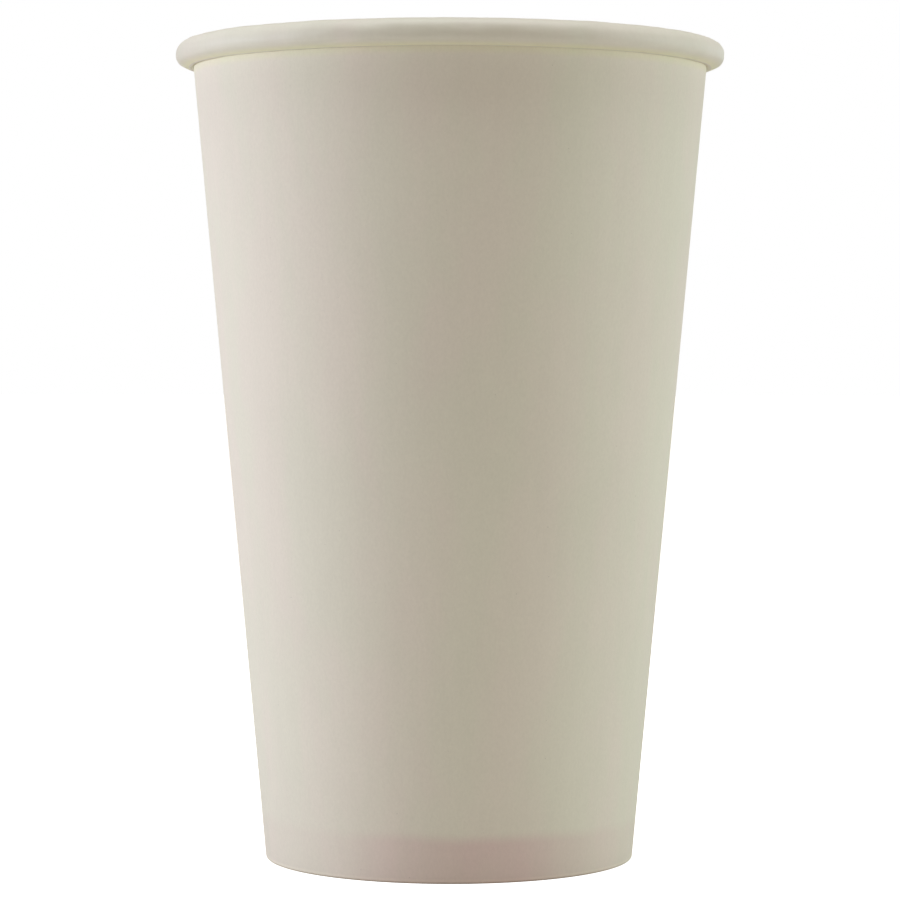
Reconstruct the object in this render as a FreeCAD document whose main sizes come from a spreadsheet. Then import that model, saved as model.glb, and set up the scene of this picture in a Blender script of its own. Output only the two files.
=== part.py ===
import FreeCAD, Part
import math
import os
import Sketcher
from FreeCAD import Placement, Rotation, Vector

# Driving dimensions in millimetres, and the seam's azimuth in degrees
SIZES = {
    "rim_diameter": 90.0,        # outside of the rolled rim
    "base_diameter": 60.5,       # wall's outer face carried down to the table
    "cup_height": 134.0,         # table to the top of the roll
    "side_board": 0.33,          # thickness of the side wall's board
    "base_board": 0.30,          # thickness of the base's board
    "roll_height": 4.3,          # height of the rolled rim
    "roll_shoulder": 0.27,       # from a doubled wall's face to the middle of the roll
    "bend_radius": 0.10,         # tightest bend of a doubled board in the roll
    "tuck_gap": 0.10,            # clearance between a doubled wall and the tuck of the roll
    "tuck_rise": 0.90,           # straight end of the tuck, hidden beside the wall
    "hem_height": 6.4,           # top edge of the folded hem
    "fold_radius": 0.07,         # inside bend of the fold that the cup stands on
    "floor_rise": 0.90,          # from the hem's top edge up to the underside of the floor
    "floor_corner": 0.60,        # inside bend between the floor and its skirt
    "skirt_gap": 0.05,           # clearance between the skirt's lower edge and the fold
    "seal_gap": 0.01,            # film of coating between two sealed faces
    "lap_foot": 0.90,            # where the doubled board ends, above the pressed fold
    "lap_width": 7.0,            # overlap of the side seam, measured at the rim
    "step_width": 2.4,           # length over which the outer ply climbs onto the inner one
    "seam_azimuth": 90.0,        # middle of the overlap, at the back of the cup
}

# Formulas that several dimensions share
ROLL_RADIUS = "sizes.roll_height / 2"
ROLL_MIDDLE = f"(sizes.rim_diameter / 2 - {ROLL_RADIUS})"
WALL_TOP = f"({ROLL_MIDDLE} - sizes.roll_shoulder - sizes.side_board)"
TAPER = f"atan(({WALL_TOP} - sizes.base_diameter / 2) / (sizes.cup_height - {ROLL_RADIUS}))"
LAP_ANGLE = "(sizes.lap_width / sizes.rim_diameter * 360 / pi)"
STEP_ANGLE = "(sizes.step_width / sizes.rim_diameter * 360 / pi)"
FLOOR_TOP = "sizes.hem_height + sizes.floor_rise + sizes.base_board"
SKIRT_FOOT = "1.5 * sizes.side_board + sizes.fold_radius + sizes.skirt_gap"

# First guess of directions in degrees, before the constraints settle them
LEAN = 5
TUCK_TURN = 65

# Radius runs along a sketch's X and height along its Y
UPRIGHT = Placement(Vector(0, 0, 0), Rotation(Vector(1, 0, 0), 90))
CUP_AXIS = Vector(0, 0, 1)

# Parts of an edge, and the fixed geometry of every sketch
START, END, CENTRE = range(1, 4)
TABLE_LINE, AXIS_LINE = range(-1, -3, -1)
ORIGIN = (TABLE_LINE, START)


def make_sheet(doc):
    sheet = doc.addObject("Spreadsheet::Sheet", "sizes")
    for row, (name, value) in enumerate(SIZES.items(), start=1):
        sheet.set(f"A{row}", name)
        sheet.set(f"B{row}", str(value))
        sheet.setAlias(f"B{row}", name)
    doc.recompute()


# Sketching

def new_path(doc, name):
    sketch = doc.addObject("Sketcher::SketchObject", name)
    sketch.Placement = UPRIGHT
    return sketch


def draw_line(sketch, start, end, guide=False):
    return sketch.addGeometry(Part.LineSegment(Vector(*start, 0), Vector(*end, 0)), guide)


def draw_bend(sketch, centre, radius, first, last):
    """Guide arc of a bend, between two directions in degrees."""
    circle = Part.Circle(Vector(*centre, 0), Vector(0, 0, 1), radius)
    bend = Part.ArcOfCircle(circle, math.radians(first), math.radians(last))
    return sketch.addGeometry(bend, True)


def fix(sketch, *constraint):
    sketch.addConstraint(Sketcher.Constraint(*constraint))


def measure(sketch, name, formula, *constraint):
    """Add a dimension that follows a formula on the sheet."""
    value = float(sketch.evalExpression(formula))
    index = sketch.addConstraint(Sketcher.Constraint(*constraint, value))
    sketch.renameConstraint(index, name)
    sketch.setExpression(f"Constraints.{name}", formula)


def lay_chords(sketch, bend, count):
    """Lay the board along a guide arc as equal chords, few enough to keep the solid light."""
    sketch.solve()
    guide = sketch.Geometry[bend]
    step = (guide.LastParameter - guide.FirstParameter) / count
    points = [guide.value(guide.FirstParameter + step * i) for i in range(count + 1)]
    chords = [sketch.addGeometry(Part.LineSegment(*ends)) for ends in zip(points, points[1:])]
    fix(sketch, "Coincident", chords[0], START, bend, START)
    for chord, following in zip(chords, chords[1:]):
        fix(sketch, "Coincident", chord, END, following, START)
        fix(sketch, "PointOnObject", chord, END, bend)
        fix(sketch, "Equal", chord, following)
    fix(sketch, "Coincident", chords[-1], END, bend, END)


def beside_wall(height, offset):
    """First guess of the point at this height, this far outside the wall's outer face."""
    roll = SIZES["roll_height"] / 2
    foot = SIZES["base_diameter"] / 2
    top = SIZES["rim_diameter"] / 2 - roll - SIZES["roll_shoulder"] - SIZES["side_board"]
    slope = (top - foot) / (SIZES["cup_height"] - roll)
    return foot + slope * height + offset, height


def draw_guide(sketch):
    """Slanted guide on the wall's outer face, from the table to the middle of the roll."""
    top = SIZES["cup_height"] - SIZES["roll_height"] / 2
    guide = draw_line(sketch, beside_wall(0, 0), beside_wall(top, 0), guide=True)
    fix(sketch, "PointOnObject", guide, START, TABLE_LINE)
    measure(sketch, "footRadius", "sizes.base_diameter / 2", "DistanceX", *ORIGIN, guide, START)
    measure(sketch, "topRadius", WALL_TOP, "DistanceX", *ORIGIN, guide, END)
    measure(sketch, "topHeight", f"sizes.cup_height - {ROLL_RADIUS}", "DistanceY", *ORIGIN, guide, END)
    return guide


def run_beside(sketch, guide, run, name, distance):
    """Keep a line parallel to the wall, at a distance outside its outer face, or inside if negative."""
    start = sketch.Geometry[run].StartPoint
    gauge = draw_line(sketch, beside_wall(start.y, 0), (start.x, start.y), guide=True)
    fix(sketch, "Parallel", run, guide)
    fix(sketch, "Horizontal", gauge)
    fix(sketch, "PointOnObject", gauge, START, guide)
    fix(sketch, "Coincident", gauge, END, run, START)
    measure(sketch, name, f"({distance}) / cos({TAPER})", "DistanceX", gauge, START, gauge, END)


# Paths of the board's outer face, which the sections are thickened from

def draw_wall_path(doc):
    """Wall from just above the fold, then the rim: over the top, round and up inside itself."""
    sketch = new_path(doc, "wall_path")
    guide = draw_guide(sketch)
    board = SIZES["side_board"]
    roll = SIZES["roll_height"] / 2
    tight = board + SIZES["bend_radius"]
    middle = SIZES["rim_diameter"] / 2 - roll
    top = SIZES["cup_height"]
    tuck_out = 2 * board + SIZES["tuck_gap"]
    tuck_foot = top - 2 * roll + board + tight
    tuck_top = tuck_foot + SIZES["tuck_rise"]

    wall = draw_line(sketch, beside_wall(SIZES["lap_foot"], 0), beside_wall(top - board - tight, 0))
    lip = draw_bend(sketch, (middle, top - board - tight), tight, 90, 180 - LEAN)
    crown = draw_bend(sketch, (middle, top - roll), roll - board, TUCK_TURN - 180, 90)
    tuck = draw_bend(sketch, beside_wall(tuck_foot, tuck_out + tight), tight, 180 - LEAN, 180 + TUCK_TURN)
    rise = draw_line(sketch, beside_wall(tuck_foot, tuck_out), beside_wall(tuck_top, tuck_out))

    fix(sketch, "PointOnObject", wall, START, guide)
    fix(sketch, "PointOnObject", wall, END, guide)
    fix(sketch, "Tangent", wall, END, lip, END)
    fix(sketch, "Tangent", lip, START, crown, END)
    fix(sketch, "Tangent", crown, START, tuck, END)
    fix(sketch, "Tangent", tuck, START, rise, START)
    fix(sketch, "Vertical", lip, CENTRE, crown, CENTRE)
    measure(sketch, "lapFoot", "sizes.lap_foot", "DistanceY", *ORIGIN, wall, START)
    measure(sketch, "rollMiddle", ROLL_MIDDLE, "DistanceX", *ORIGIN, crown, CENTRE)
    measure(sketch, "rollHeight", f"sizes.cup_height - {ROLL_RADIUS}", "DistanceY", *ORIGIN, crown, CENTRE)
    measure(sketch, "crownRadius", f"{ROLL_RADIUS} - sizes.side_board", "Radius", crown)
    measure(sketch, "tuckRadius", "sizes.side_board + sizes.bend_radius", "Radius", tuck)
    measure(sketch, "tuckRise", "sizes.tuck_rise", "Distance", rise)
    run_beside(sketch, guide, rise, "tuckPlace", "2 * sizes.side_board + sizes.tuck_gap")
    lay_chords(sketch, lip, count=3)
    lay_chords(sketch, crown, count=7)
    lay_chords(sketch, tuck, count=2)
    return sketch


def draw_hem_path(doc):
    """Hem down to the fold with the flat ring that the cup stands on, then the foot of the wall."""
    sketch = new_path(doc, "hem_path")
    guide = draw_guide(sketch)
    fold = SIZES["side_board"] + SIZES["fold_radius"]
    pocket = 2 * SIZES["side_board"] + SIZES["base_board"] + 2 * SIZES["seal_gap"]
    top = SIZES["hem_height"]
    in_middle = beside_wall(fold, fold - pocket)
    out_middle = beside_wall(fold, -fold)

    hem = draw_line(sketch, beside_wall(top, -pocket), beside_wall(fold, -pocket))
    fold_in = draw_bend(sketch, in_middle, fold, 180 - LEAN, 270)
    foot = draw_line(sketch, (in_middle[0], 0), (out_middle[0], 0))
    fold_out = draw_bend(sketch, out_middle, fold, -90, -LEAN)
    wall = draw_line(sketch, beside_wall(fold, 0), beside_wall(top, 0))

    fix(sketch, "Tangent", hem, END, fold_in, START)
    fix(sketch, "Tangent", fold_in, END, foot, START)
    fix(sketch, "Tangent", foot, END, fold_out, START)
    fix(sketch, "Tangent", fold_out, END, wall, START)
    fix(sketch, "PointOnObject", foot, START, TABLE_LINE)
    fix(sketch, "PointOnObject", foot, END, TABLE_LINE)
    fix(sketch, "PointOnObject", wall, START, guide)
    fix(sketch, "PointOnObject", wall, END, guide)
    measure(sketch, "foldIn", "sizes.side_board + sizes.fold_radius", "Radius", fold_in)
    measure(sketch, "foldOut", "sizes.side_board + sizes.fold_radius", "Radius", fold_out)
    measure(sketch, "hemTop", "sizes.hem_height", "DistanceY", *ORIGIN, hem, START)
    measure(sketch, "wallTop", "sizes.hem_height", "DistanceY", *ORIGIN, wall, END)
    run_beside(sketch, guide, hem, "pocketWidth",
               "-2 * sizes.side_board - sizes.base_board - 2 * sizes.seal_gap")
    lay_chords(sketch, fold_in, count=1)
    lay_chords(sketch, fold_out, count=1)
    return sketch


def draw_base_path(doc):
    """Outer face of the skirt, then over the corner to the top face of the floor."""
    sketch = new_path(doc, "base_path")
    guide = draw_guide(sketch)
    inset = -SIZES["side_board"] - SIZES["seal_gap"]
    bend = SIZES["floor_corner"] + SIZES["base_board"]
    top = SIZES["hem_height"] + SIZES["floor_rise"] + SIZES["base_board"]
    middle = beside_wall(top - bend, inset - bend)

    skirt = draw_line(sketch, beside_wall(SIZES["lap_foot"], inset), beside_wall(top - bend, inset))
    corner = draw_bend(sketch, middle, bend, -LEAN, 90)
    floor = draw_line(sketch, (middle[0], top), (0, top))

    fix(sketch, "Tangent", skirt, END, corner, START)
    fix(sketch, "Tangent", corner, END, floor, START)
    fix(sketch, "Horizontal", floor)
    fix(sketch, "PointOnObject", floor, END, AXIS_LINE)
    measure(sketch, "skirtFoot", SKIRT_FOOT, "DistanceY", *ORIGIN, skirt, START)
    measure(sketch, "cornerRadius", "sizes.floor_corner + sizes.base_board", "Radius", corner)
    measure(sketch, "floorTop", FLOOR_TOP, "DistanceY", *ORIGIN, floor, END)
    run_beside(sketch, guide, skirt, "skirtPlace", "-sizes.side_board - sizes.seal_gap")
    lay_chords(sketch, corner, count=2)
    return sketch


# Sections, turns about the cup's axis, and the two pieces

def thicken(doc, name, path, thickness):
    """Section of one ply, between a path and its copy one thickness of board away."""
    section = doc.addObject("Part::Offset2D", name)
    section.Source = path
    section.Fill = True
    section.Mode = "Skin"
    section.Join = "Intersection"
    section.setExpression("Value", thickness)
    return section


def turn_to(thing, azimuth):
    thing.Placement = Placement(Vector(0, 0, 0), Rotation(CUP_AXIS, 1))
    thing.setExpression("Placement.Rotation.Angle", azimuth)


def revolve(doc, name, section, angle):
    turned = doc.addObject("Part::Revolution", name)
    turned.Source = section
    turned.Axis = CUP_AXIS
    turned.Base = Vector(0, 0, 0)
    turned.Solid = True
    turned.setExpression("Angle", angle)
    return turned


def make_side_wall(doc):
    """One wrapped blank: a single ply all round, doubled along the seam, with a step between."""
    wall_path = draw_wall_path(doc)
    hem_path = draw_hem_path(doc)
    inner_ply = thicken(doc, "inner_ply", wall_path, "sizes.side_board")
    outer_ply = thicken(doc, "outer_ply", wall_path, "-sizes.side_board")
    hem_ply = thicken(doc, "hem_ply", hem_path, "sizes.side_board")

    lap_start = f"sizes.seam_azimuth - {LAP_ANGLE} / 2"
    lap_end = f"sizes.seam_azimuth + {LAP_ANGLE} / 2"
    step_end = f"{lap_end} + {STEP_ANGLE}"

    hem = revolve(doc, "hem", hem_ply, "360")
    wall = revolve(doc, "wall", inner_ply, f"360 - {STEP_ANGLE}")
    turn_to(wall, step_end)
    lap = revolve(doc, "lap", outer_ply, LAP_ANGLE)
    turn_to(lap, lap_start)

    high_end = thicken(doc, "step_high_end", wall_path, "-sizes.side_board")
    turn_to(high_end, lap_end)
    low_end = thicken(doc, "step_low_end", wall_path, "sizes.side_board")
    turn_to(low_end, step_end)
    step = doc.addObject("Part::Loft", "step")
    step.Sections = [high_end, low_end]
    step.Solid = True
    step.Ruled = True

    side_wall = doc.addObject("Part::MultiFuse", "side_wall")
    side_wall.Label = "side_wall"
    side_wall.Shapes = [hem, wall, lap, step]
    side_wall.Refine = True
    return side_wall


def make_base_disc(doc):
    """Flat round floor with its edge turned down into a skirt, held between wall and hem."""
    base_ply = thicken(doc, "base_ply", draw_base_path(doc), "sizes.base_board")
    base_disc = revolve(doc, "base_disc", base_ply, "360")
    base_disc.Label = "base_disc"
    return base_disc


def check(doc, parts):
    """Stop before anything is written if an object failed or a piece isn't one sound solid."""
    failed = [thing.Name for thing in doc.Objects if {"Invalid", "Error"} & set(thing.State)]
    if failed:
        raise RuntimeError(f"failed objects: {failed}")
    for part in parts:
        if part.Shape.isNull() or not part.Shape.isValid() or len(part.Shape.Solids) != 1:
            raise RuntimeError(f"{part.Label} isn't one sound solid")


def main():
    doc = FreeCAD.newDocument("paper_cup")
    make_sheet(doc)
    parts = [make_side_wall(doc), make_base_disc(doc)]
    doc.recompute()
    check(doc, parts)
    os.makedirs("parts", exist_ok=True)
    for part in parts:
        part.Shape.exportStep(f"parts/{part.Label}.step")
        print(part.Label, round(part.Shape.Volume, 1), part.Shape.BoundBox)


main()
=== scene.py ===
import math
import bmesh
import bpy
from mathutils import Matrix, Vector


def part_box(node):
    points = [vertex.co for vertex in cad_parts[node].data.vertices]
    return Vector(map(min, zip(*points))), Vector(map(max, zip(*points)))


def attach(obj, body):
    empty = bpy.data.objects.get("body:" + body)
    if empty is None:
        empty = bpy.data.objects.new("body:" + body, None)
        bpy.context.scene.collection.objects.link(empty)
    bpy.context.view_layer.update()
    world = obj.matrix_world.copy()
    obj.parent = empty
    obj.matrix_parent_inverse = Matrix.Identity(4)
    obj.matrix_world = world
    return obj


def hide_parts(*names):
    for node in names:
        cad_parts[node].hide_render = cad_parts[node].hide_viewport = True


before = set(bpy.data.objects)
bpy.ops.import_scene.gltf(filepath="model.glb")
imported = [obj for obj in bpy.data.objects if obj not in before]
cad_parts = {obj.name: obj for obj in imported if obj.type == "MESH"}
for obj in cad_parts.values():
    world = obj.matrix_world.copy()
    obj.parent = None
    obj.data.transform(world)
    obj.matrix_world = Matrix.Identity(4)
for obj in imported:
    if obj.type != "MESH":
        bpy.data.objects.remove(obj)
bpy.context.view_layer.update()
mm = 0.001


# Helpers for node trees

def addNode(tree, kind, sockets=None, **settings):
    node = tree.nodes.new(kind)
    for name, value in settings.items():
        setattr(node, name, value)
    for key, value in (sockets or {}).items():
        if isinstance(value, bpy.types.NodeSocket):
            tree.links.new(value, node.inputs[key])
        else:
            node.inputs[key].default_value = value
    return node


def calc(tree, operation, *terms):
    return addNode(tree, "ShaderNodeMath", dict(enumerate(terms)), operation=operation).outputs[0]


def fade(tree, value, start, end, low=0.0, high=1.0):
    # eased from low to high while the value goes from start to end
    sockets = {0: value, 1: start, 2: end, 3: low, 4: high}
    return addNode(tree, "ShaderNodeMapRange", sockets, interpolation_type="SMOOTHSTEP").outputs[0]


def split(tree, vector):
    return addNode(tree, "ShaderNodeSeparateXYZ", {0: vector}).outputs


def join(tree, x, y, z):
    return addNode(tree, "ShaderNodeCombineXYZ", {0: x, 1: y, 2: z}).outputs[0]


def newGroup(name, kind, inputs, outputs):
    # inputs: name -> (socket type, default), outputs: name -> socket type
    tree = bpy.data.node_groups.new(name, kind)
    for label, (socketType, default) in inputs.items():
        socket = tree.interface.new_socket(label, in_out="INPUT", socket_type=socketType)
        if default is not None:
            socket.default_value = default
    for label, socketType in outputs.items():
        tree.interface.new_socket(label, in_out="OUTPUT", socket_type=socketType)
    return tree, tree.nodes.new("NodeGroupInput").outputs, tree.nodes.new("NodeGroupOutput")


# The cup's sizes in metres: outside sizes come from the frame, the rest is as the solids are

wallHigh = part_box("side_wall")[1]
baseLow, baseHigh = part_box("base_disc")
skirtLift = 0.13 * mm             # keeps the skirt's hidden edge clear of the pressed seam
cup = {
    "rimRadius": round(wallHigh[0], 4),
    "height": round(wallHigh[2], 4),
    "footRadius": 30.25 * mm,     # outer face of the wall, carried down to the table
    "board": 0.33 * mm,
    "baseBoard": 0.30 * mm,
    "rollHeight": 4.3 * mm,
    "rollShoulder": 0.27 * mm,    # from a doubled wall to the middle of the roll
    "bendRadius": 0.10 * mm,      # tightest bend of the doubled board
    "tuckGap": 0.10 * mm,
    "tuckRise": 0.90 * mm,
    "hemHeight": 6.4 * mm,
    "foldRadius": 0.07 * mm,
    "floorTop": round(baseHigh[2], 5),
    "floorCorner": 0.60 * mm,
    "skirtFoot": round(baseLow[2] + skirtLift, 6),
    "sealGap": 0.01 * mm,
    "lapWidth": 7.0 * mm,         # side seam, measured round the rim
    "stepWidth": 2.4 * mm,
    "seamAzimuth": 90.0,          # degrees, at the back
}
rollRadius = cup["rollHeight"] / 2
rollMiddle = cup["rimRadius"] - rollRadius
rollLevel = cup["height"] - rollRadius
wallTop = rollMiddle - cup["rollShoulder"] - cup["board"]
slope = (wallTop - cup["footRadius"]) / rollLevel
taper = math.atan(slope)
outward = (math.cos(taper), -math.sin(taper))     # the wall's outside, as radius and height
lapTurn = cup["lapWidth"] / cup["rimRadius"]
stepTurn = cup["stepWidth"] / cup["rimRadius"]
steps = {
    # into how many parts each stretch of a section is divided
    "hem": 9, "fold": 6, "wall": 26, "lip": 6, "crown": 18, "tuck": 7, "rise": 2,
    "skirt": 8, "corner": 9, "floor": 16,
}
samePoint = 1e-3 * mm


# Sections: points of the board's outer face as (radius, height, facing radius, facing height)

def besideWall(height, distance=0.0):
    return cup["footRadius"] + slope * height + distance / math.cos(taper), height


def along(start, end, count, facing):
    shares = [i / count for i in range(count + 1)]
    return [(start[0] + (end[0] - start[0]) * t, start[1] + (end[1] - start[1]) * t, *facing)
            for t in shares]


def around(centre, radius, first, last, count, hollow):
    # hollow: the outer face lies on the inside of the bend and faces its centre
    side = -1 if hollow else 1
    points = []
    for i in range(count + 1):
        angle = math.radians(first + (last - first) * i / count)
        away = (math.cos(angle), math.sin(angle))
        place = (centre[0] + radius * away[0], centre[1] + radius * away[1])
        points.append((*place, side * away[0], side * away[1]))
    return points


def linked(*stretches):
    # one line of points, without the doubled ones where stretches meet
    points = []
    for stretch in stretches:
        for point in stretch:
            if not points or math.dist(point[:2], points[-1][:2]) > samePoint:
                points.append(point)
    return points


def wallSection():
    board, lean = cup["board"], math.degrees(taper)
    fold = board + cup["foldRadius"]
    pocket = 2 * board + cup["baseBoard"] + 2 * cup["sealGap"]
    hemFoot, wallFoot = besideWall(fold, fold - pocket), besideWall(fold, -fold)
    inward = (-outward[0], -outward[1])

    lip = (rollMiddle - cup["footRadius"] - slope * (cup["height"] - board)) * math.cos(taper)
    lip /= 1 - math.sin(taper)
    lipMiddle = (rollMiddle, cup["height"] - board - lip)
    crown = rollRadius - board
    crownMiddle = (rollMiddle, rollLevel)

    # the tuck touches the crown from inside and runs up beside the doubled wall
    tuck = board + cup["bendRadius"]
    tuckPlace = 2 * board + cup["tuckGap"]
    reach = besideWall(0, tuckPlace + tuck)[0] - crownMiddle[0]
    square = 1 + slope ** 2
    half = slope * reach - crownMiddle[1]
    rest = reach ** 2 + crownMiddle[1] ** 2 - (crown - tuck) ** 2
    tuckHeight = (-half - math.sqrt(half ** 2 - square * rest)) / square
    tuckMiddle = besideWall(tuckHeight, tuckPlace + tuck)
    turn = math.degrees(math.atan2(tuckMiddle[1] - crownMiddle[1], tuckMiddle[0] - crownMiddle[0]))
    tuckEnd = tuckMiddle[1] + tuck * math.sin(taper)
    riseTop = tuckEnd + cup["tuckRise"] * math.cos(taper)

    hemTop = besideWall(cup["hemHeight"], -pocket)
    hemLow = besideWall(fold + fold * math.sin(taper), -pocket)
    wallLow = besideWall(fold - fold * math.sin(taper))
    wallLip = besideWall(lipMiddle[1] + lip * math.sin(taper))
    riseStart, riseEnd = besideWall(tuckEnd, tuckPlace), besideWall(riseTop, tuckPlace)
    return linked(
        along(hemTop, hemLow, steps["hem"], inward),
        around(hemFoot, fold, 180 - lean, 270, steps["fold"], False),
        around(wallFoot, fold, 270, 360 - lean, steps["fold"], False),
        along(wallLow, wallLip, steps["wall"], outward),
        around(lipMiddle, lip, 180 - lean, 90, steps["lip"], True),
        around(crownMiddle, crown, 90, turn, steps["crown"], True),
        around(tuckMiddle, tuck, turn, -180 - lean, steps["tuck"], True),
        along(riseStart, riseEnd, steps["rise"], inward),
    )


def baseSection():
    inset = -cup["board"] - cup["sealGap"]
    bend = cup["floorCorner"] + cup["baseBoard"]
    middle = besideWall(cup["floorTop"] - bend, inset - bend)
    bendFoot = middle[1] - bend * math.sin(taper)
    skirtLow, skirtTop = besideWall(cup["skirtFoot"], inset), besideWall(bendFoot, inset)
    floorEdge, floorMiddle = (middle[0], cup["floorTop"]), (0.0, cup["floorTop"])
    return linked(
        along(skirtLow, skirtTop, steps["skirt"], outward),
        around(middle, bend, -math.degrees(taper), 90, steps["corner"], False),
        along(floorEdge, floorMiddle, steps["floor"], (0.0, 1.0)),
    )


def sectionObject(name, points, weights):
    # a line of points that carries what the tree below needs to know at each of them
    mesh = bpy.data.meshes.new(name)
    edges = [(i, i + 1) for i in range(len(points) - 1)]
    mesh.from_pydata([(p[0], 0, p[1]) for p in points], edges, [])
    facing = mesh.attributes.new("facing", "FLOAT_VECTOR", "POINT")
    facing.data.foreach_set("vector", [v for p in points for v in (p[2], 0, p[3])])
    for label, rule in weights.items():
        weight = mesh.attributes.new(label, "FLOAT", "POINT")
        weight.data.foreach_set("value", [rule(*p) for p in points])
    section = bpy.data.objects.new(name, mesh)
    bpy.context.scene.collection.objects.link(section)
    return section


def ease(value, start, end):
    share = min(max((value - start) / (end - start), 0), 1)
    return share * share * (3 - 2 * share)


# Geometry Nodes: a strip of board, turned about the cup's axis from its section and made thick

unevenness = {
    # noise scales, and shifts that keep one noise apart from another
    "detail": 2.0,
    "waveShift": 0.0,
    "waveOutward": 0.6,           # share of the rim's wave that also goes outward
    "bulgeScale": 1.3,
    "bulgeShift": 7.0,
    "rippleShift": 5.0,
    "rippleUpward": 60.0,         # how much faster the dents change with height
    "ribScale": 9.0,
    "ribShift": 3.0,
    "ribMean": 0.8,
}
weld = 1e-6                       # metres within which points become one
sharpAngle = math.radians(38)


def boardTree():
    real, whole, stuff = "NodeSocketFloat", "NodeSocketInt", "NodeSocketMaterial"
    tree, given, result = newGroup("turnedBoard", "GeometryNodeTree", {
        "Section": ("NodeSocketGeometry", None),
        "Rows": (whole, 2), "Columns": (whole, 2),
        "Board": (real, 0.0), "Start": (real, 0.0), "Turn": (real, 0.0),
        "Lap": (real, 0.0), "Step": (real, 0.0), "Lap Offset": (real, 0.0),
        "Fold Height": (real, 0.0), "Lean": (real, 0.0),
        "Rib Count": (real, 0.0), "Rib Depth": (real, 0.0),
        "Wave": (real, 0.0), "Wave Scale": (real, 1.0), "Bulge": (real, 0.0), "Closing": (real, 0.0),
        "Ripple": (real, 0.0), "Ripple Scale": (real, 1.0), "Seed": (real, 0.0),
        "Outside": (stuff, None), "Inside": (stuff, None), "Cut Edge": (stuff, None),
    }, {"Board": "NodeSocketGeometry"})

    grid = addNode(tree, "GeometryNodeMeshGrid", {
        "Vertices X": given["Columns"], "Vertices Y": given["Rows"],
    })
    index = addNode(tree, "GeometryNodeInputIndex").outputs[0]
    row = calc(tree, "MODULO", index, given["Rows"])
    column = calc(tree, "FLOOR", calc(tree, "DIVIDE", calc(tree, "ADD", index, 0.5), given["Rows"]))
    share = calc(tree, "DIVIDE", column, calc(tree, "SUBTRACT", given["Columns"], 1))
    turned = calc(tree, "MULTIPLY", share, given["Turn"])
    azimuth = calc(tree, "ADD", turned, given["Start"])
    cosine, sine = calc(tree, "COSINE", azimuth), calc(tree, "SINE", azimuth)

    def sampled(value, dataType):
        sockets = {"Geometry": given["Section"], "Value": value, "Index": row}
        node = addNode(tree, "GeometryNodeSampleIndex", sockets, data_type=dataType, domain="POINT")
        return node.outputs[0]

    def named(label, dataType):
        node = addNode(tree, "GeometryNodeInputNamedAttribute", {"Name": label}, data_type=dataType)
        return node.outputs["Attribute"]

    place = split(tree, sampled(addNode(tree, "GeometryNodeInputPosition").outputs[0], "FLOAT_VECTOR"))
    facing = split(tree, sampled(named("facing", "FLOAT_VECTOR"), "FLOAT_VECTOR"))
    ribbed, waved, bulged, closed, rippled = (
        sampled(named(label, "FLOAT"), "FLOAT")
        for label in ("ribbed", "waved", "bulged", "closed", "rippled")
    )

    # the strip starts as the outer ply, steps down beside the lap and ends under its own start
    lapEnd = calc(tree, "ADD", given["Lap"], given["Step"])
    isOuter = fade(tree, turned, given["Lap"], lapEnd, 1.0, 0.0)
    isUnder = fade(tree, turned, calc(tree, "SUBTRACT", math.tau, given["Step"]), math.tau)
    outerOffset = calc(tree, "MULTIPLY", isOuter, given["Lap Offset"])
    doubled = calc(tree, "MINIMUM", calc(tree, "ADD", isOuter, isUnder), 1.0)
    lift = calc(tree, "MULTIPLY", doubled, given["Lap Offset"])
    lift = calc(tree, "MULTIPLY", lift, fade(tree, place[2], 0.0, given["Fold Height"], 1.0, 0.0))
    aside = calc(tree, "MULTIPLY", lift, given["Lean"])

    # noises go round with the azimuth, so they close up and are the same for both plies
    def roundNoise(scale, shift, upwardScale=0.0):
        upward = calc(tree, "MULTIPLY_ADD", place[2], upwardScale, shift)
        spot = join(tree, cosine, sine, calc(tree, "ADD", given["Seed"], upward))
        sockets = {"Vector": spot, "Scale": scale, "Detail": unevenness["detail"]}
        node = addNode(tree, "ShaderNodeTexNoise", sockets)
        return calc(tree, "SUBTRACT", node.outputs[0], 0.5)

    def weighted(noise, depth, weight):
        return calc(tree, "MULTIPLY", calc(tree, "MULTIPLY", noise, depth), weight)

    # slow waves round the rim and the wall
    waveNoise = roundNoise(given["Wave Scale"], unevenness["waveShift"])
    wave = weighted(waveNoise, given["Wave"], waved)
    bulgeNoise = roundNoise(unevenness["bulgeScale"], unevenness["bulgeShift"])
    bulge = weighted(bulgeNoise, given["Bulge"], bulged)

    radius = calc(tree, "MULTIPLY_ADD", facing[0], outerOffset, calc(tree, "ADD", place[0], aside))
    waveOut = calc(tree, "MULTIPLY", wave, unevenness["waveOutward"])
    radius = calc(tree, "ADD", radius, calc(tree, "ADD", bulge, waveOut))
    # where the board lies single, the roll's end closes up to the wall
    closing = calc(tree, "MULTIPLY", calc(tree, "SUBTRACT", 1.0, doubled), given["Closing"])
    radius = calc(tree, "SUBTRACT", radius, calc(tree, "MULTIPLY", closing, closed))
    height = calc(tree, "MULTIPLY_ADD", facing[2], outerOffset, place[2])
    height = calc(tree, "ADD", height, calc(tree, "ADD", lift, wave))

    # small dents that the rolling leaves
    rippleNoise = roundNoise(given["Ripple Scale"], unevenness["rippleShift"], unevenness["rippleUpward"])
    ripple = weighted(rippleNoise, given["Ripple"], rippled)
    radius = calc(tree, "MULTIPLY_ADD", facing[0], ripple, radius)
    height = calc(tree, "MULTIPLY_ADD", facing[2], ripple, height)

    def spun(r, z):
        return join(tree, calc(tree, "MULTIPLY", r, cosine), calc(tree, "MULTIPLY", r, sine), z)

    def beneath(depth):
        back = calc(tree, "MULTIPLY", depth, -1.0)
        return spun(calc(tree, "MULTIPLY_ADD", facing[0], back, radius),
                    calc(tree, "MULTIPLY_ADD", facing[2], back, height))

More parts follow.
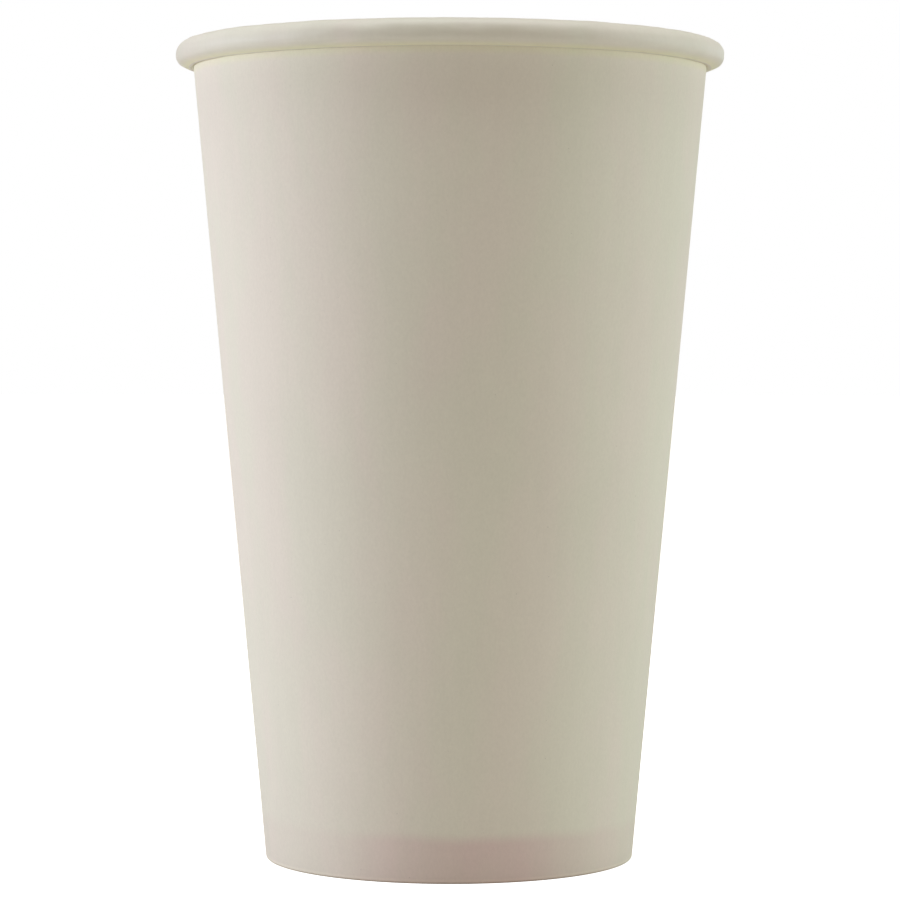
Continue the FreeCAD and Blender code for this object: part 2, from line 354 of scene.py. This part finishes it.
    # pressed ribs: narrow grooves between rounded ridges, each a little different
    phase = calc(tree, "MULTIPLY", azimuth, calc(tree, "DIVIDE", given["Rib Count"], 2.0))
    groove = calc(tree, "SUBTRACT", 1.0, calc(tree, "ABSOLUTE", calc(tree, "SINE", phase)))
    ribNoise = roundNoise(unevenness["ribScale"], unevenness["ribShift"])
    groove = calc(tree, "MULTIPLY", groove, calc(tree, "ADD", unevenness["ribMean"], ribNoise))
    ribs = weighted(groove, given["Rib Depth"], ribbed)

    mesh = addNode(tree, "GeometryNodeStoreNamedAttribute", {
        "Geometry": grid.outputs["Mesh"], "Name": "innerPlace", "Value": beneath(given["Board"]),
    }, data_type="FLOAT_VECTOR", domain="POINT").outputs[0]
    mesh = addNode(tree, "GeometryNodeSetPosition", {"Geometry": mesh, "Position": beneath(ribs)}).outputs[0]
    mesh = addNode(tree, "GeometryNodeMergeByDistance", {"Geometry": mesh, "Distance": weld}).outputs[0]

    # the second face is the first one pulled through the board, with cut edges between them
    thick = addNode(tree, "GeometryNodeExtrudeMesh", {
        "Mesh": mesh, "Offset Scale": 0.0, "Individual": False,
    })
    inner = addNode(tree, "GeometryNodeSetPosition", {
        "Geometry": thick.outputs["Mesh"], "Selection": thick.outputs["Top"],
        "Position": named("innerPlace", "FLOAT_VECTOR"),
    }).outputs[0]
    both = tree.nodes.new("GeometryNodeJoinGeometry")
    tree.links.new(mesh, both.inputs[0])
    tree.links.new(inner, both.inputs[0])
    shell = addNode(tree, "GeometryNodeMergeByDistance", {
        "Geometry": both.outputs[0], "Distance": weld,
    }).outputs[0]
    shell = addNode(tree, "GeometryNodeSetShadeSmooth", {"Geometry": shell}).outputs[0]
    shell = addNode(tree, "GeometryNodeRealizeInstances", {"Geometry": shell}).outputs[0]
    for material, chosen in (("Outside", None), ("Inside", "Top"), ("Cut Edge", "Side")):
        sockets = {"Geometry": shell, "Material": given[material]}
        if chosen:
            sockets["Selection"] = thick.outputs[chosen]
        shell = addNode(tree, "GeometryNodeSetMaterial", sockets).outputs[0]
    tree.links.new(shell, result.inputs[0])
    return tree


def turnedPiece(name, section, tree, values):
    # runs the tree on a section and keeps the result as a plain, closed mesh
    modifier = section.modifiers.new("turnedBoard", "NODES")
    modifier.node_group = tree
    sockets = {s.name: s.identifier for s in tree.interface.items_tree if s.in_out == "INPUT"}
    for label, value in values.items():
        modifier[sockets[label]] = value
    bpy.context.view_layer.update()
    evaluated = section.evaluated_get(bpy.context.evaluated_depsgraph_get())
    mesh = bpy.data.meshes.new_from_object(evaluated)
    section.modifiers.remove(modifier)
    bpy.data.objects.remove(section)
    mesh.name = name
    shell = bmesh.new()
    shell.from_mesh(mesh)
    bmesh.ops.recalc_face_normals(shell, faces=shell.faces)
    if shell.calc_volume(signed=True) < 0:
        bmesh.ops.reverse_faces(shell, faces=shell.faces)
    openEdges = sum(1 for edge in shell.edges if not edge.is_manifold)
    print(name, "faces", len(shell.faces), "open edges", openEdges,
          "cm3", round(shell.calc_volume() * 1e6, 3))
    shell.to_mesh(mesh)
    shell.free()
    if "innerPlace" in mesh.attributes:
        mesh.attributes.remove(mesh.attributes["innerPlace"])
    mesh.set_sharp_from_angle(angle=sharpAngle)
    piece = bpy.data.objects.new(name, mesh)
    bpy.context.scene.collection.objects.link(piece)
    return piece


# Finishes: shared effects as node groups

grainShares = {"tintSize": 0.6, "tintShift": 0.4, "streakHeight": 0.35}
speckShape = {"leastChosen": 0.55, "core": 0.4}


def grainGroup():
    real = "NodeSocketFloat"
    tree, given, result = newGroup("boardGrain", "ShaderNodeTree", {
        "Vector": ("NodeSocketVector", None),
        "Fibre Size": (real, 0.5 * mm), "Streak Width": (real, 2.0 * mm),
        "Streak Stretch": (real, 14.0), "Cloud Size": (real, 20.0 * mm),
    }, {"Fibre": real, "Streaks": real, "Cloud": real, "Tint": real, "Height": real})
    spot = split(tree, given["Vector"])

    def noise(size, stretch, detail, roughness, shift=0.0):
        upward = calc(tree, "ADD", calc(tree, "DIVIDE", spot[2], stretch), shift)
        vector = join(tree, spot[0], spot[1], upward)
        sockets = {
            "Vector": vector, "Scale": calc(tree, "DIVIDE", 1.0, size),
            "Detail": detail, "Roughness": roughness,
        }
        return addNode(tree, "ShaderNodeTexNoise", sockets).outputs[0]

    tintSize = calc(tree, "MULTIPLY", given["Cloud Size"], grainShares["tintSize"])
    made = {
        "Fibre": noise(given["Fibre Size"], stretch=1.6, detail=5.0, roughness=0.62),
        "Streaks": noise(given["Streak Width"], given["Streak Stretch"], detail=3.0, roughness=0.55),
        "Cloud": noise(given["Cloud Size"], stretch=1.7, detail=3.0, roughness=0.5),
        "Tint": noise(tintSize, stretch=2.6, detail=3.0, roughness=0.55, shift=grainShares["tintShift"]),
    }
    made["Height"] = calc(tree, "MULTIPLY_ADD", made["Streaks"], grainShares["streakHeight"], made["Fibre"])
    for label, value in made.items():
        tree.links.new(value, result.inputs[label])
    return tree


def speckGroup():
    # a few tiny dark fibres in the board
    real = "NodeSocketFloat"
    tree, given, result = newGroup("boardSpecks", "ShaderNodeTree", {
        "Vector": ("NodeSocketVector", None), "Spacing": (real, 2.7 * mm), "Radius": (real, 0.10 * mm),
    }, {"Mask": real})
    scale = calc(tree, "DIVIDE", 1.0, given["Spacing"])
    cells = addNode(tree, "ShaderNodeTexVoronoi", {"Vector": given["Vector"], "Scale": scale})
    lot = split(tree, cells.outputs["Color"])[0]
    chosen = calc(tree, "GREATER_THAN", lot, speckShape["leastChosen"])
    reach = calc(tree, "MULTIPLY", given["Radius"], scale)
    core = calc(tree, "MULTIPLY", reach, speckShape["core"])
    dot = fade(tree, cells.outputs["Distance"], core, reach, 1.0, 0.0)
    tree.links.new(calc(tree, "MULTIPLY", dot, chosen), result.inputs["Mask"])
    return tree


grain, specks = grainGroup(), speckGroup()

board = {
    "outside": {
        "warm": (0.810, 0.757, 0.688), "cool": (0.788, 0.765, 0.676),
        "cloudDepth": 0.032, "streakDepth": 0.018, "fibreDepth": 0.060, "fibre": 0.40 * mm,
        "roughness": 0.84, "bump": 0.10, "specular": 0.10, "speckDepth": 0.28,
    },
    "inside": {
        "warm": (0.785, 0.741, 0.673), "cool": (0.765, 0.747, 0.661),
        "cloudDepth": 0.030, "streakDepth": 0.018, "fibreDepth": 0.036, "fibre": 0.60 * mm,
        "roughness": 0.50, "bump": 0.07, "specular": 0.34, "speckDepth": 0.18,
    },
    "cutEdge": {
        "warm": (0.760, 0.690, 0.575), "cool": (0.710, 0.645, 0.525),
        "cloudDepth": 0.060, "streakDepth": 0.080, "fibreDepth": 0.160, "fibre": 0.16 * mm,
        "roughness": 0.92, "bump": 0.30, "specular": 0.10, "speckDepth": 0.0,
    },
}
boardShares = {
    "tint": (0.36, 0.64),         # noise values between which warm turns to cool
    "roughSpread": 0.16,
    "bumpDistance": 0.05 * mm,
}
paintedWallShading = {
    # painted light and shade on the wall's outside; name: z where the tone starts, z where it is full, and
    # the colour it multiplies with
    # painted shade: the foot band below the floor is darker and pinker, as three layers of board let no
    # light through from inside
    "footBandShade": (8.5 * mm, 5.9 * mm, (0.940, 0.800, 0.868)),
    # painted highlight: a thin lighter line where the fold at the foot starts
    "foldHighlight": (0.85 * mm, 0.55 * mm, (1.055, 1.055, 1.045)),
    # painted shadow: the lowest edge of the fold, darker where it meets the table
    "foot": (0.45 * mm, 0.05 * mm, (0.700, 0.660, 0.600)),
    # painted light: the wall just under the roll, a little lighter and yellower where light comes through
    "underRollLight": (128.3 * mm, 129.6 * mm, (1.015, 1.025, 0.925)),
}
# painted shade of the foot band: full near x = middle, fading to least towards the sides, in blotches, with
# its upper edge wandering
footBandShadeSpread = {
    "middle": 4.0 * mm, "near": 5.0 * mm, "far": 25.0 * mm, "least": 0.22,
    "blotches": (0.35, 0.65, 0.75, 1.0),     # noise values, and the strength at each
    "edgeWander": 2.0 * mm,
}
# painted light: the roll's outer face, beyond radius, is tinted lighter and yellower between low and high,
# fullest at full
rollTone = {"low": 128.8 * mm, "full": 129.7 * mm, "high": 130.6 * mm, "radius": 42.9 * mm,
            "colour": (1.090, 1.110, 0.930)}


def toned(tree, colour, mask, tone):
    return addNode(tree, "ShaderNodeMix", {0: mask, 6: colour, 7: (*tone, 1)},
                   data_type="RGBA", blend_type="MULTIPLY").outputs[2]


def paintWallShading(tree, colour, place, cloud):
    # painted shade: the foot band is darker, as three layers of board keep the light out behind the foot,
    # unevenly and with a soft upper edge; the other tones are a painted highlight on the fold, a painted
    # shadow at its lowest edge and painted light under the roll
    across = calc(tree, "ABSOLUTE", calc(tree, "SUBTRACT", place[0], footBandShadeSpread["middle"]))
    spread = fade(tree, across, footBandShadeSpread["near"], footBandShadeSpread["far"], 1.0, footBandShadeSpread["least"])
    blotches = fade(tree, cloud, *footBandShadeSpread["blotches"])
    wander = calc(tree, "SUBTRACT", cloud, 0.5)
    edge = calc(tree, "MULTIPLY_ADD", wander, footBandShadeSpread["edgeWander"], place[2])
    for name, (low, high, tone) in paintedWallShading.items():
        mask = fade(tree, edge if name == "footBandShade" else place[2], low, high)
        if name == "footBandShade":
            mask = calc(tree, "MULTIPLY", mask, calc(tree, "MULTIPLY", spread, blotches))
        colour = toned(tree, colour, mask, tone)
    return colour


def paintRollLight(tree, colour, place, cloud):
    # painted light: the roll is lighter and yellower where a little light comes through where it meets the
    # wall
    flat = join(tree, place[0], place[1], 0.0)
    length = addNode(tree, "ShaderNodeVectorMath", {0: flat}, operation="LENGTH").outputs["Value"]
    rising = fade(tree, place[2], rollTone["low"], rollTone["full"])
    falling = fade(tree, place[2], rollTone["full"], rollTone["high"], 1.0, 0.0)
    onRoll = calc(tree, "GREATER_THAN", length, rollTone["radius"])
    mask = calc(tree, "MULTIPLY", calc(tree, "MULTIPLY", rising, falling), onRoll)
    return toned(tree, colour, mask, rollTone["colour"])


def boardMaterial(name, finish, addShading=None):
    material = bpy.data.materials.new(name)
    material.use_nodes = True
    tree = material.node_tree
    shader = tree.nodes["Principled BSDF"]
    spot = addNode(tree, "ShaderNodeTexCoord").outputs["Object"]
    effects = tree.nodes.new("ShaderNodeGroup")
    effects.node_tree = grain
    tree.links.new(spot, effects.inputs["Vector"])
    effects.inputs["Fibre Size"].default_value = finish["fibre"]

    coolness = fade(tree, effects.outputs["Tint"], *boardShares["tint"])
    colour = addNode(tree, "ShaderNodeMix", {
        0: coolness, 6: (*finish["warm"], 1), 7: (*finish["cool"], 1),
    }, data_type="RGBA").outputs[2]
    value = 1.0
    for label, depth in (("Cloud", "cloudDepth"), ("Streaks", "streakDepth"), ("Fibre", "fibreDepth")):
        centred = calc(tree, "SUBTRACT", effects.outputs[label], 0.5)
        value = calc(tree, "MULTIPLY_ADD", centred, finish[depth] * 2, value)
    if finish["speckDepth"]:
        dots = tree.nodes.new("ShaderNodeGroup")
        dots.node_tree = specks
        tree.links.new(spot, dots.inputs["Vector"])
        value = calc(tree, "MULTIPLY_ADD", dots.outputs["Mask"], -finish["speckDepth"], value)
    colour = addNode(tree, "ShaderNodeVectorMath", {0: colour, "Scale": value}, operation="SCALE").outputs[0]
    if addShading:
        colour = addShading(tree, colour, split(tree, spot), effects.outputs["Cloud"])

    spread = boardShares["roughSpread"]
    rough = calc(tree, "MULTIPLY_ADD", effects.outputs["Fibre"], spread, finish["roughness"] - spread / 2)
    bump = addNode(tree, "ShaderNodeBump", {
        "Height": effects.outputs["Height"], "Strength": finish["bump"],
        "Distance": boardShares["bumpDistance"],
    })
    tree.links.new(colour, shader.inputs["Base Color"])
    tree.links.new(rough, shader.inputs["Roughness"])
    tree.links.new(bump.outputs[0], shader.inputs["Normal"])
    shader.inputs["Specular IOR Level"].default_value = finish["specular"]
    return material


outsideBoard = boardMaterial("outsideBoard", board["outside"], paintWallShading)
coatedBoard = boardMaterial("coatedBoard", board["inside"], paintRollLight)
plainBoard = boardMaterial("plainBoard", board["outside"])
cutBoard = boardMaterial("cutBoard", board["cutEdge"])
print("board materials made")


# The side wall: a fan-shaped blank, lapped at the back, rolled at the top and folded at the foot

sideWallValues = {
    "Columns": 580,
    "Board": cup["board"],
    "Start": math.radians(cup["seamAzimuth"]) - lapTurn / 2,
    "Turn": math.tau + lapTurn,
    "Lap": lapTurn,
    "Step": stepTurn,
    "Lap Offset": cup["board"] + 0.015 * mm,   # one board and a film of coating
    "Fold Height": 2.2 * mm,
    "Lean": slope,
    "Rib Count": 72.0,                         # pressed ribs that grip the base's skirt
    "Rib Depth": 0.09 * mm,
    "Wave": 0.22 * mm,
    "Wave Scale": 3.4,
    "Bulge": 0.20 * mm,
    "Closing": 2 * cup["board"] + 0.04 * mm,
    "Ripple": 0.45 * mm,
    "Ripple Scale": 7.0,
    "Seed": 4.0,
    "Outside": outsideBoard,
    "Inside": coatedBoard,
    "Cut Edge": cutBoard,
}
wallZones = {
    # radii or heights where an effect starts and where it is full
    "ribFoot": (1.2 * mm, 1.8 * mm),
    "ribTop": (6.3 * mm, 5.7 * mm),
    "waveAcross": (rollMiddle - 1.4 * mm, rollMiddle + 1.2 * mm),
    "waveUp": (134 * mm, 131 * mm),
    "bulgeUp": (15 * mm, 90 * mm),
    "closingAcross": (44.5 * mm, 43.6 * mm),
    "rippleAcross": (rollMiddle - 0.3 * mm, rollMiddle + 0.9 * mm),
    "rippleUp": (130.1 * mm, 131.2 * mm),
}


def zone(label, value):
    return ease(value, *wallZones[label])


sideWallWeights = {
    # each gets a point's radius and height, and which way it faces
    "ribbed": lambda r, z, fr, fz: zone("ribFoot", z) * zone("ribTop", z) * (fr < 0),
    "waved": lambda r, z, fr, fz: zone("waveAcross", r) * zone("waveUp", z),
    "bulged": lambda r, z, fr, fz: zone("bulgeUp", z),
    "closed": lambda r, z, fr, fz: (r > rollMiddle) * (z < rollLevel) * zone("closingAcross", r),
    "rippled": lambda r, z, fr, fz: zone("rippleAcross", r) * zone("rippleUp", z),
}
turnedBoard = boardTree()
wallPoints = wallSection()
sideWall = turnedPiece("sideWall", sectionObject("wallSection", wallPoints, sideWallWeights), turnedBoard,
                       {"Rows": len(wallPoints), **sideWallValues})
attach(sideWall, "root")
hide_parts("side_wall")
print("side wall made")


# The base: a round blank with its edge drawn down into a skirt, which the hem holds

baseDiscValues = {
    "Columns": 421,
    "Board": cup["baseBoard"],
    "Start": 0.0,
    "Turn": math.tau,
    "Lap": -1.0,                               # there is no lap: it ends before the turn starts
    "Step": 0.5,
    "Fold Height": 1.0 * mm,
    "Rib Count": 60.0,                         # small pleats where the blank was drawn over its corner
    "Rib Depth": 0.05 * mm,
    "Seed": 11.0,
    "Outside": coatedBoard,
    "Inside": plainBoard,
    "Cut Edge": cutBoard,
}
baseZones = {"pleatAcross": (27.6 * mm, 29.6 * mm), "pleatFacing": (0.0, 0.5)}
baseDiscWeights = dict.fromkeys(("waved", "bulged", "closed", "rippled"), lambda r, z, fr, fz: 0.0)
baseDiscWeights["ribbed"] = (
    lambda r, z, fr, fz: ease(r, *baseZones["pleatAcross"]) * ease(fz, *baseZones["pleatFacing"])
)
basePoints = baseSection()
baseDisc = turnedPiece("baseDisc", sectionObject("baseSection", basePoints, baseDiscWeights), turnedBoard,
                       {"Rows": len(basePoints), **baseDiscValues})
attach(baseDisc, "root")
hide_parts("base_disc")
print("base disc made")


# Stage: a wide pale floor, bright enough to read as white all the way to the horizon

stage = {
    "size": 12.0,
    "glow": 0.96,                    # what the camera sees of the floor besides the light that falls on it
    "white": (0.90, 0.90, 0.895),
    "bounce": (0.64, 0.60, 0.54),    # what the floor gives back to the cup
    "floorRoughness": 0.9,
    "backdrop": 1.0,
    "ambient": 0.265,
    "ambientColour": (1.0, 0.827, 0.585),
}


def paleFloor():
    mesh = bpy.data.meshes.new("studioFloor")
    half = stage["size"] / 2
    corners = [(-half, -half, 0), (half, -half, 0), (half, half, 0), (-half, half, 0)]
    mesh.from_pydata(corners, [], [(0, 1, 2, 3)])
    floor = bpy.data.objects.new("studioFloor", mesh)
    bpy.context.scene.collection.objects.link(floor)
    material = bpy.data.materials.new("paleFloor")
    material.use_nodes = True
    tree = material.node_tree
    isCamera = addNode(tree, "ShaderNodeLightPath").outputs["Is Camera Ray"]
    tone = addNode(tree, "ShaderNodeMix", {0: isCamera, 6: (*stage["bounce"], 1), 7: (*stage["white"], 1)},
                   data_type="RGBA").outputs[2]
    shader = tree.nodes["Principled BSDF"]
    tree.links.new(tone, shader.inputs["Base Color"])
    tree.links.new(calc(tree, "MULTIPLY", isCamera, stage["glow"]), shader.inputs["Emission Strength"])
    shader.inputs["Emission Color"].default_value = (1, 1, 1, 1)
    shader.inputs["Roughness"].default_value = stage["floorRoughness"]
    mesh.materials.append(material)
    return floor


paleFloor()


def softWorld():
    # the backdrop is seen white, and lends the room only a little light
    world = bpy.data.worlds.new("studioWorld")
    world.use_nodes = True
    tree = world.node_tree
    seen = tree.nodes["Background"]
    seen.inputs["Color"].default_value = (1, 1, 1, 1)
    seen.inputs["Strength"].default_value = stage["backdrop"]
    lit = addNode(tree, "ShaderNodeBackground", {
        "Color": (*stage["ambientColour"], 1), "Strength": stage["ambient"],
    })
    isCamera = addNode(tree, "ShaderNodeLightPath").outputs["Is Camera Ray"]
    mixed = addNode(tree, "ShaderNodeMixShader", {0: isCamera, 1: lit.outputs[0], 2: seen.outputs[0]})
    tree.links.new(mixed.outputs[0], tree.nodes["World Output"].inputs["Surface"])
    bpy.context.scene.world = world


softWorld()

softBoxes = {
    # name: place, aim, width, height, power, colour
    "leftSoftBox": ((-0.65, -0.08, 0.12), (0, 0, 0.08), 0.62, 0.22, 2.87, (0.832, 0.885, 1.0)),
    "rightSoftBox": ((0.65, -0.08, 0.12), (0, 0, 0.08), 0.62, 0.22, 1.64, (0.882, 1.0, 1.0)),
    "backSoftBox": ((0.46, 0.48, 0.14), (0, 0, 0.08), 0.50, 0.26, 0.46, (0.750, 0.915, 1.0)),
    "topSoftBox": ((0.0, -0.09, 0.80), (0, 0, 0.10), 0.60, 0.40, 3.47, (0.921, 0.970, 1.0)),
}


def addSoftBox(name, place, aim, width, height, power, colour):
    light = bpy.data.lights.new(name, "AREA")
    light.shape = "RECTANGLE"
    light.size, light.size_y = width, height
    light.energy = power
    light.color = colour
    lamp = bpy.data.objects.new(name, light)
    lamp.location = place
    lamp.rotation_euler = (Vector(aim) - Vector(place)).to_track_quat("-Z", "Y").to_euler()
    bpy.context.scene.collection.objects.link(lamp)


for name, values in softBoxes.items():
    addSoftBox(name, *values)


# Camera: fitted to the cup's outline in the photograph

lens = {
    "place": (0.0, -0.5427, 0.0830), "down": 0.0292, "roll": 0.0014,
    "focal": 131.5, "sensor": 36.0, "shift": 0.0005,
}


def addCamera():
    data = bpy.data.cameras.new("photoCamera")
    data.lens = lens["focal"]
    data.sensor_width = lens["sensor"]
    data.shift_x = lens["shift"]
    camera = bpy.data.objects.new("photoCamera", data)
    turn = Matrix.Rotation(math.pi / 2 - lens["down"], 4, "X") @ Matrix.Rotation(lens["roll"], 4, "Z")
    camera.matrix_world = Matrix.Translation(lens["place"]) @ turn
    bpy.context.scene.collection.objects.link(camera)
    bpy.context.scene.camera = camera


addCamera()
bpy.context.scene.view_settings.view_transform = "Standard"
print("stage, lights and camera set")
